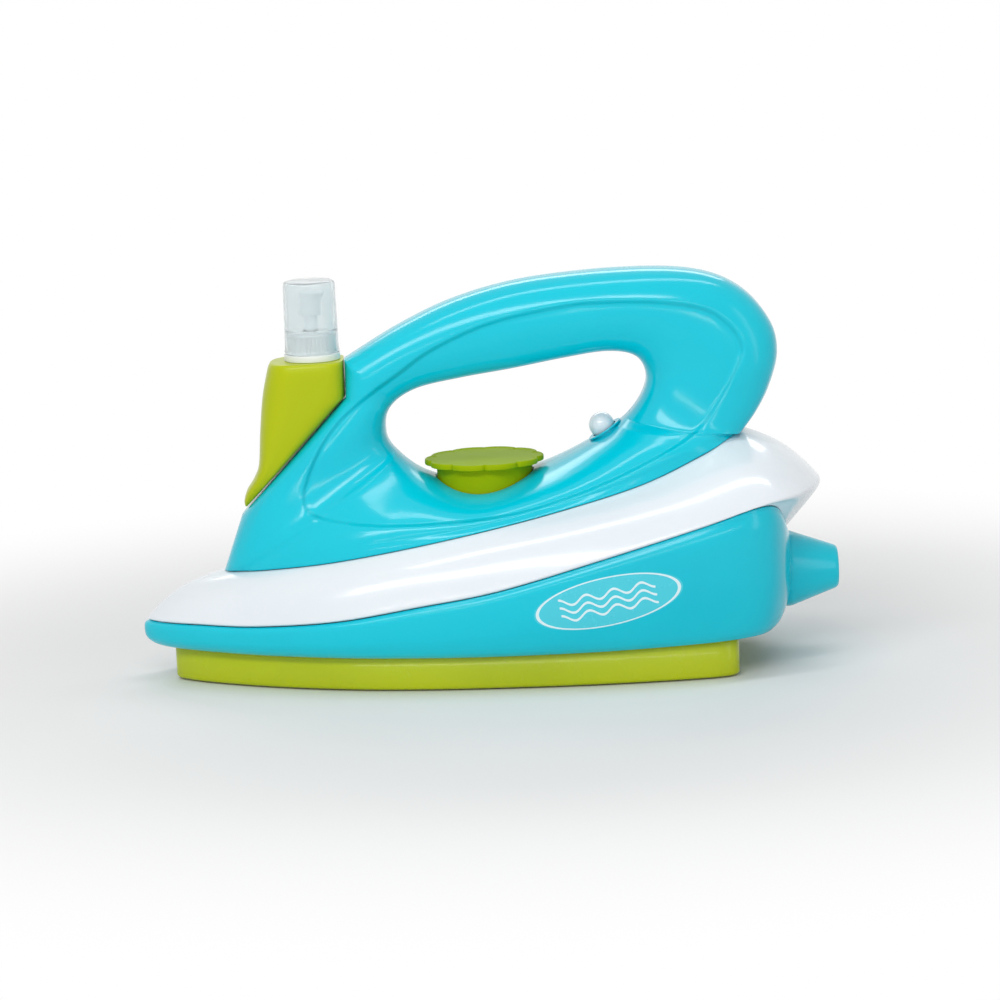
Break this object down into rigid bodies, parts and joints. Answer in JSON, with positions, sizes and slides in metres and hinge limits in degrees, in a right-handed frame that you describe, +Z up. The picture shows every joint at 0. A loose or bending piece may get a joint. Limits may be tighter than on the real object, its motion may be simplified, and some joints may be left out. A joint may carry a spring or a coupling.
{
  "type": "toy iron",
  "caption": "Toy iron with a looped handle, white skirt, floating sole, mist sprayer in front, petal dial and ball button; lights and sounds when pressed down.",
  "frame": {"origin": "on the ground, under the middle of the toy's length and width", "axes": "+X from the nose to the heel, +Z up, Y = 0 is the mid-plane"},
  "size_m": [0.22, 0.0924, 0.1244],
  "materials": {
    "turquoise_plastic": "glossy moulded",
    "white_plastic": "glossy moulded",
    "lime_plastic": "satin moulded",
    "clear_plastic": "clear, slightly frosted",
    "chassis_plastic": "moulded",
    "natural_plastic": "natural",
    "black_plastic": "moulded",
    "board": "lacquered",
    "red_lens": "clear red",
    "steel": "zinc plated",
    "cell_jacket": "printed jacket",
    "gasket": "soft"
  },
  "bodies": {
    "iron_body": {"handle_left": "turquoise_plastic", "handle_right": "turquoise_plastic", "skirt": "white_plastic", "base_shell": "turquoise_plastic", "cord_bush": "turquoise_plastic", "bottle": "lime_plastic", "button_body": "turquoise_plastic", "button_spring": "steel", "chassis": "chassis_plastic", "sole_springs": "steel", "sole_screws": "steel", "sole_switch": "black_plastic", "circuit_board": "board", "sound_chip": "black_plastic", "leds": "red_lens", "board_screws": "steel", "speaker_frame": "black_plastic", "speaker_cone": "black_plastic", "speaker_magnet": "steel", "battery_cells": "cell_jacket", "battery_contacts": "steel", "handle_screws": "steel", "chassis_screws": "steel"},
    "sole": {"sole_plate": "lime_plastic"},
    "dial": {"dial": "lime_plastic"},
    "ball": {"ball_button": "white_plastic"},
    "sprayer": {"spray_collar": "white_plastic", "collar_gasket": "gasket", "pump_body": "natural_plastic", "dip_tube": "natural_plastic", "pump_spring": "steel"},
    "spray_head": {"actuator": "white_plastic", "nozzle": "natural_plastic", "pump_stem": "natural_plastic"},
    "cap": {"cap": "clear_plastic"},
    "door": {"battery_door": "lime_plastic", "door_screw": "steel"}
  },
  "joints": [
    {"name": "sole_press", "type": "slide", "parent": "iron_body", "child": "sole", "axis": [0, 0, 1], "range_m": [0, 0.003], "stiffness_N_per_m": 2500, "springref_m": -0.003, "deforming": ["sole_springs"]},
    {"name": "dial_turn", "type": "hinge", "parent": "iron_body", "child": "dial", "pos_m": [-0.0001, 0, 0.06], "axis": [0, 0, 1], "continuous": true},
    {"name": "button_press", "type": "slide", "parent": "iron_body", "child": "ball", "axis": [0.5233, 0, -0.8522], "range_m": [0, 0.002], "stiffness_N_per_m": 400, "springref_m": -0.002, "deforming": ["button_spring"]},
    {"name": "sprayer_lift", "type": "slide", "parent": "iron_body", "child": "sprayer", "axis": [0, 0, 1], "range_m": [0, 0.03]},
    {"name": "spray_press", "type": "slide", "parent": "sprayer", "child": "spray_head", "axis": [0, 0, -1], "range_m": [0, 0.004], "stiffness_N_per_m": 400, "springref_m": -0.004, "deforming": ["pump_spring"]},
    {"name": "cap_pull", "type": "slide", "parent": "sprayer", "child": "cap", "axis": [0, 0, 1], "range_m": [0, 0.026]},
    {"name": "door_off", "type": "slide", "parent": "iron_body", "child": "door", "axis": [0, 0, -1], "range_m": [0, 0.03]}
  ]
}
